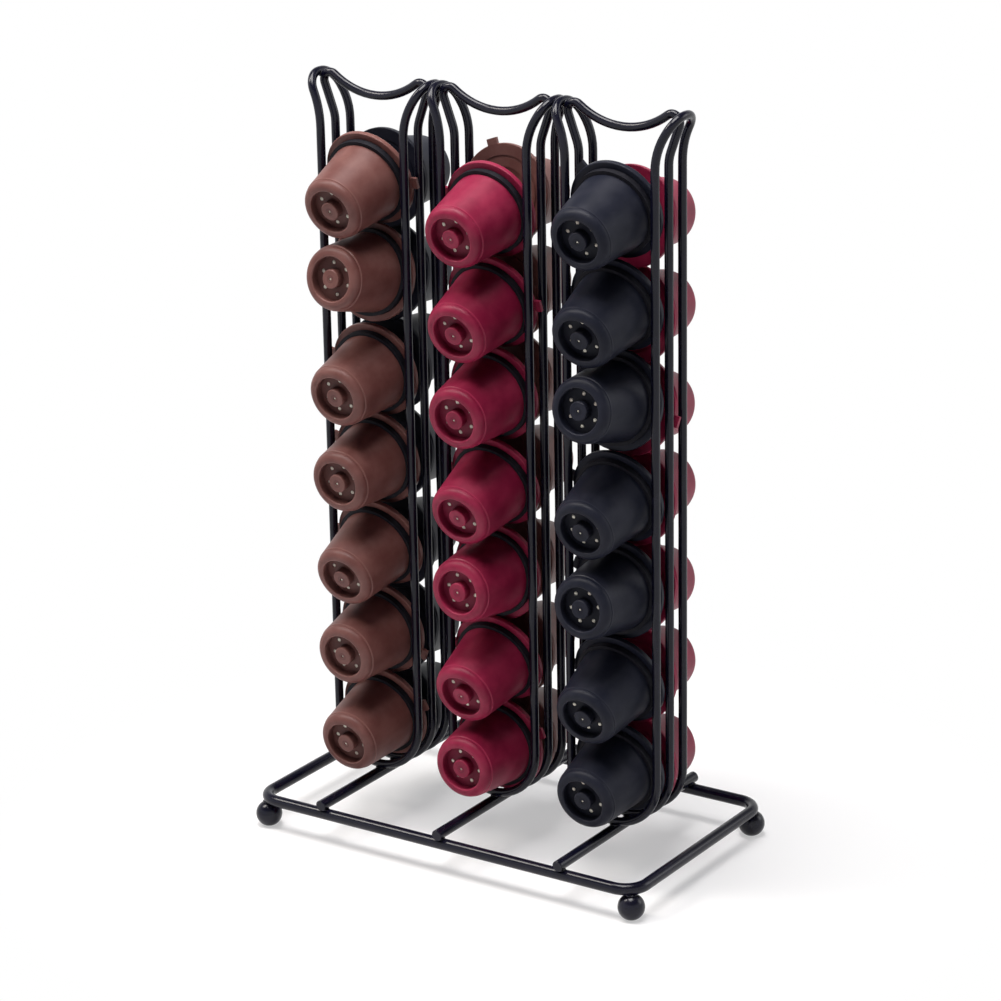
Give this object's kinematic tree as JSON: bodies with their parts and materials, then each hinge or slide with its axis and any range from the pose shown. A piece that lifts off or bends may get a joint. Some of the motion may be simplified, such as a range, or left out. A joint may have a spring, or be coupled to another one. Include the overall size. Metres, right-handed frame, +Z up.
{
  "type": "coffee capsule holder",
  "caption": "Free-standing black wire tower that stacks refillable coffee capsules in columns, cups facing front and back, rims held between bent wires on a footed base loop.",
  "frame": {"origin": "centre of the footprint on the surface that the feet stand on", "axes": "+Z up, X along the row of columns with +X to the right seen from the front, +Y from the front to the back"},
  "size_m": [0.172, 0.0972, 0.2865],
  "materials": {
    "black_enamel": "glossy black enamel on bent steel wire",
    "brown_plastic": "satin chocolate brown plastic, black seal ring under the lid",
    "red_plastic": "satin crimson plastic, black seal ring under the lid",
    "black_plastic": "satin charcoal plastic, black seal ring under the lid"
  },
  "bodies": {
    "rack": {"base_frame": "black_enamel", "crossbar_left": "black_enamel", "crossbar_middle": "black_enamel", "crossbar_right": "black_enamel", "outer_wire_left": "black_enamel", "outer_wire_middle": "black_enamel", "outer_wire_right": "black_enamel", "middle_wire_left": "black_enamel", "middle_wire_middle": "black_enamel", "middle_wire_right": "black_enamel", "foot_front_left": "black_enamel", "foot_front_right": "black_enamel", "foot_back_left": "black_enamel", "foot_back_right": "black_enamel"},
    "capsule_front_left_1": {"capsule_front_left_1": "brown_plastic"},
    "capsule_front_left_2": {"capsule_front_left_2": "brown_plastic"},
    "capsule_front_left_3": {"capsule_front_left_3": "brown_plastic"},
    "capsule_front_left_4": {"capsule_front_left_4": "brown_plastic"},
    "capsule_front_left_5": {"capsule_front_left_5": "brown_plastic"},
    "capsule_front_left_6": {"capsule_front_left_6": "brown_plastic"},
    "capsule_front_left_7": {"capsule_front_left_7": "brown_plastic"},
    "capsule_front_middle_1": {"capsule_front_middle_1": "red_plastic"},
    "capsule_front_middle_2": {"capsule_front_middle_2": "red_plastic"},
    "capsule_front_middle_3": {"capsule_front_middle_3": "red_plastic"},
    "capsule_front_middle_4": {"capsule_front_middle_4": "red_plastic"},
    "capsule_front_middle_5": {"capsule_front_middle_5": "red_plastic"},
    "capsule_front_middle_6": {"capsule_front_middle_6": "red_plastic"},
    "capsule_front_middle_7": {"capsule_front_middle_7": "red_plastic"},
    "capsule_front_right_1": {"capsule_front_right_1": "black_plastic"},
    "capsule_front_right_2": {"capsule_front_right_2": "black_plastic"},
    "capsule_front_right_3": {"capsule_front_right_3": "black_plastic"},
    "capsule_front_right_4": {"capsule_front_right_4": "black_plastic"},
    "capsule_front_right_5": {"capsule_front_right_5": "black_plastic"},
    "capsule_front_right_6": {"capsule_front_right_6": "black_plastic"},
    "capsule_front_right_7": {"capsule_front_right_7": "black_plastic"},
    "capsule_back_left_1": {"capsule_back_left_1": "black_plastic"},
    "capsule_back_left_2": {"capsule_back_left_2": "black_plastic"},
    "capsule_back_left_3": {"capsule_back_left_3": "black_plastic"},
    "capsule_back_left_4": {"capsule_back_left_4": "black_plastic"},
    "capsule_back_left_5": {"capsule_back_left_5": "black_plastic"},
    "capsule_back_left_6": {"capsule_back_left_6": "black_plastic"},
    "capsule_back_left_7": {"capsule_back_left_7": "black_plastic"},
    "capsule_back_middle_1": {"capsule_back_middle_1": "brown_plastic"},
    "capsule_back_middle_2": {"capsule_back_middle_2": "brown_plastic"},
    "capsule_back_middle_3": {"capsule_back_middle_3": "brown_plastic"},
    "capsule_back_middle_4": {"capsule_back_middle_4": "brown_plastic"},
    "capsule_back_middle_5": {"capsule_back_middle_5": "brown_plastic"},
    "capsule_back_middle_6": {"capsule_back_middle_6": "brown_plastic"},
    "capsule_back_middle_7": {"capsule_back_middle_7": "brown_plastic"},
    "capsule_back_right_1": {"capsule_back_right_1": "red_plastic"},
    "capsule_back_right_2": {"capsule_back_right_2": "red_plastic"},
    "capsule_back_right_3": {"capsule_back_right_3": "red_plastic"},
    "capsule_back_right_4": {"capsule_back_right_4": "red_plastic"},
    "capsule_back_right_5": {"capsule_back_right_5": "red_plastic"},
    "capsule_back_right_6": {"capsule_back_right_6": "red_plastic"},
    "capsule_back_right_7": {"capsule_back_right_7": "red_plastic"}
  },
  "joints": [
    {"name": "lift_front_left", "type": "slide", "parent": "rack", "child": "capsule_front_left_1", "axis": [0, 0, 1], "range_m": [0, 0.03]},
    {"name": "lift_front_middle", "type": "slide", "parent": "rack", "child": "capsule_front_middle_1", "axis": [0, 0, 1], "range_m": [0, 0.03]},
    {"name": "lift_front_right", "type": "slide", "parent": "rack", "child": "capsule_front_right_1", "axis": [0, 0, 1], "range_m": [0, 0.03]},
    {"name": "lift_back_left", "type": "slide", "parent": "rack", "child": "capsule_back_left_1", "axis": [0, 0, 1], "range_m": [0, 0.06]},
    {"name": "lift_back_middle", "type": "slide", "parent": "rack", "child": "capsule_back_middle_1", "axis": [0, 0, 1], "range_m": [0, 0.03]},
    {"name": "lift_back_right", "type": "slide", "parent": "rack", "child": "capsule_back_right_1", "axis": [0, 0, 1], "range_m": [0, 0.03]},
    {"name": "turn_front_left_2", "type": "hinge", "parent": "rack", "child": "capsule_front_left_2", "pos_m": [-0.0528, -0.00465, 0.21322], "axis": [0, 0.9925, -0.1219], "range_deg": [-30, 50]},
    {"name": "turn_front_left_3", "type": "hinge", "parent": "rack", "child": "capsule_front_left_3", "pos_m": [-0.0528, -0.00465, 0.1759], "axis": [0, 0.9848, 0.1736], "range_deg": [-30, 30]},
    {"name": "turn_front_left_4", "type": "hinge", "parent": "rack", "child": "capsule_front_left_4", "pos_m": [-0.0528, -0.00465, 0.14169], "axis": [0, 0.9925, 0.1219], "range_deg": [-55, 25]},
    {"name": "turn_front_left_5", "type": "hinge", "parent": "rack", "child": "capsule_front_left_5", "pos_m": [-0.0528, -0.00465, 0.10798], "axis": [0, 0.9613, 0.2756], "range_deg": [-15, 10]},
    {"name": "turn_front_left_6", "type": "hinge", "parent": "rack", "child": "capsule_front_left_6", "pos_m": [-0.0528, -0.00465, 0.07349], "axis": [0, 0.9925, 0.1219], "range_deg": [-60, 15]},
    {"name": "turn_front_left_7", "type": "hinge", "parent": "rack", "child": "capsule_front_left_7", "pos_m": [-0.0528, -0.00465, 0.03946], "axis": [0, 0.9848, 0.1736], "range_deg": [-20, 40]},
    {"name": "turn_front_middle_2", "type": "hinge", "parent": "rack", "child": "capsule_front_middle_2", "pos_m": [0, -0.00465, 0.20928], "axis": [0, 0.9659, 0.2588], "range_deg": [-15, 10]},
    {"name": "turn_front_middle_3", "type": "hinge", "parent": "rack", "child": "capsule_front_middle_3", "pos_m": [0, -0.00465, 0.17489], "axis": [0, 0.9903, 0.1392], "range_deg": [-40, 40]},
    {"name": "turn_front_middle_4", "type": "hinge", "parent": "rack", "child": "capsule_front_middle_4", "pos_m": [0, -0.00465, 0.14111], "axis": [0, 0.9613, 0.2756], "range_deg": [-15, 10]},
    {"name": "turn_front_middle_5", "type": "hinge", "parent": "rack", "child": "capsule_front_middle_5", "pos_m": [0, -0.00465, 0.10563], "axis": [0, 1, 0], "range_deg": [-20, 60]},
    {"name": "turn_front_middle_6", "type": "hinge", "parent": "rack", "child": "capsule_front_middle_6", "pos_m": [0, -0.00465, 0.07196], "axis": [0, 0.9613, 0.2756], "range_deg": [-15, 10]},
    {"name": "turn_front_middle_7", "type": "hinge", "parent": "rack", "child": "capsule_front_middle_7", "pos_m": [0, -0.00465, 0.03745], "axis": [0, 0.9986, 0.0523], "range_deg": [-15, 60]},
    {"name": "turn_front_right_2", "type": "hinge", "parent": "rack", "child": "capsule_front_right_2", "pos_m": [0.0528, -0.00465, 0.21556], "axis": [0, 0.9613, 0.2756], "range_deg": [-15, 10]},
    {"name": "turn_front_right_3", "type": "hinge", "parent": "rack", "child": "capsule_front_right_3", "pos_m": [0.0528, -0.00465, 0.18008], "axis": [0, 0.9945, -0.1045], "range_deg": [-40, 40]},
    {"name": "turn_front_right_4", "type": "hinge", "parent": "rack", "child": "capsule_front_right_4", "pos_m": [0.0528, -0.00465, 0.14405], "axis": [0, 0.9703, 0.2419], "range_deg": [-25, 5]},
    {"name": "turn_front_right_5", "type": "hinge", "parent": "rack", "child": "capsule_front_right_5", "pos_m": [0.0528, -0.00465, 0.10854], "axis": [0, 0.9998, -0.0175], "range_deg": [-60, 20]},
    {"name": "turn_front_right_6", "type": "hinge", "parent": "rack", "child": "capsule_front_right_6", "pos_m": [0.0528, -0.00465, 0.07395], "axis": [0, 0.9613, 0.2756], "range_deg": [-15, 10]},
    {"name": "turn_front_right_7", "type": "hinge", "parent": "rack", "child": "capsule_front_right_7", "pos_m": [0.0528, -0.00465, 0.03946], "axis": [0, 0.9848, 0.1736], "range_deg": [-10, 50]},
    {"name": "turn_back_left_2", "type": "hinge", "parent": "rack", "child": "capsule_back_left_2", "pos_m": [-0.0528, 0.00465, 0.21163], "axis": [0, -0.9781, 0.2079], "range_deg": [-30, 25]},
    {"name": "turn_back_left_3", "type": "hinge", "parent": "rack", "child": "capsule_back_left_3", "pos_m": [-0.0528, 0.00465, 0.17608], "axis": [0, -0.9986, -0.0523], "range_deg": [-60, 20]},
    {"name": "turn_back_left_4", "type": "hinge", "parent": "rack", "child": "capsule_back_left_4", "pos_m": [-0.0528, 0.00465, 0.14115], "axis": [0, -0.9781, 0.2079], "range_deg": [-30, 25]},
    {"name": "turn_back_left_5", "type": "hinge", "parent": "rack", "child": "capsule_back_left_5", "pos_m": [-0.0528, 0.00465, 0.10559], "axis": [0, -0.9976, 0.0698], "range_deg": [-25, 55]},
    {"name": "turn_back_left_6", "type": "hinge", "parent": "rack", "child": "capsule_back_left_6", "pos_m": [-0.0528, 0.00465, 0.07189], "axis": [0, -0.9703, 0.2419], "range_deg": [-25, 5]},
    {"name": "turn_back_left_7", "type": "hinge", "parent": "rack", "child": "capsule_back_left_7", "pos_m": [-0.0528, 0.00465, 0.03754], "axis": [0, -0.9976, 0.0698], "range_deg": [-25, 55]},
    {"name": "turn_back_middle_2", "type": "hinge", "parent": "rack", "child": "capsule_back_middle_2", "pos_m": [0, 0.00465, 0.21124], "axis": [0, -0.9994, 0.0349], "range_deg": [-50, 30]},
    {"name": "turn_back_middle_3", "type": "hinge", "parent": "rack", "child": "capsule_back_middle_3", "pos_m": [0, 0.00465, 0.17718], "axis": [0, -0.9703, 0.2419], "range_deg": [-10, 20]},
    {"name": "turn_back_middle_4", "type": "hinge", "parent": "rack", "child": "capsule_back_middle_4", "pos_m": [0, 0.00465, 0.14283], "axis": [0, -0.9976, 0.0698], "range_deg": [-35, 45]},
    {"name": "turn_back_middle_5", "type": "hinge", "parent": "rack", "child": "capsule_back_middle_5", "pos_m": [0, 0.00465, 0.10834], "axis": [0, -0.9781, 0.2079], "range_deg": [-25, 30]},
    {"name": "turn_back_middle_6", "type": "hinge", "parent": "rack", "child": "capsule_back_middle_6", "pos_m": [0, 0.00465, 0.07278], "axis": [0, -0.9976, 0.0698], "range_deg": [-60, 20]},
    {"name": "turn_back_middle_7", "type": "hinge", "parent": "rack", "child": "capsule_back_middle_7", "pos_m": [0, 0.00465, 0.03754], "axis": [0, -0.9976, 0.0698], "range_deg": [-30, 50]},
    {"name": "turn_back_right_2", "type": "hinge", "parent": "rack", "child": "capsule_back_right_2", "pos_m": [0.0528, 0.00465, 0.2097], "axis": [0, -0.9976, 0.0698], "range_deg": [-30, 50]},
    {"name": "turn_back_right_3", "type": "hinge", "parent": "rack", "child": "capsule_back_right_3", "pos_m": [0.0528, 0.00465, 0.176], "axis": [0, -0.9703, 0.2419], "range_deg": [0, 30]},
    {"name": "turn_back_right_4", "type": "hinge", "parent": "rack", "child": "capsule_back_right_4", "pos_m": [0.0528, 0.00465, 0.14165], "axis": [0, -0.9976, 0.0698], "range_deg": [-50, 30]},
    {"name": "turn_back_right_5", "type": "hinge", "parent": "rack", "child": "capsule_back_right_5", "pos_m": [0.0528, 0.00465, 0.10788], "axis": [0, -0.9744, 0.225], "range_deg": [-30, 25]},
    {"name": "turn_back_right_6", "type": "hinge", "parent": "rack", "child": "capsule_back_right_6", "pos_m": [0.0528, 0.00465, 0.07278], "axis": [0, -0.9976, 0.0698], "range_deg": [-25, 55]},
    {"name": "turn_back_right_7", "type": "hinge", "parent": "rack", "child": "capsule_back_right_7", "pos_m": [0.0528, 0.00465, 0.03754], "axis": [0, -0.9976, 0.0698], "range_deg": [-40, 40]}
  ]
}
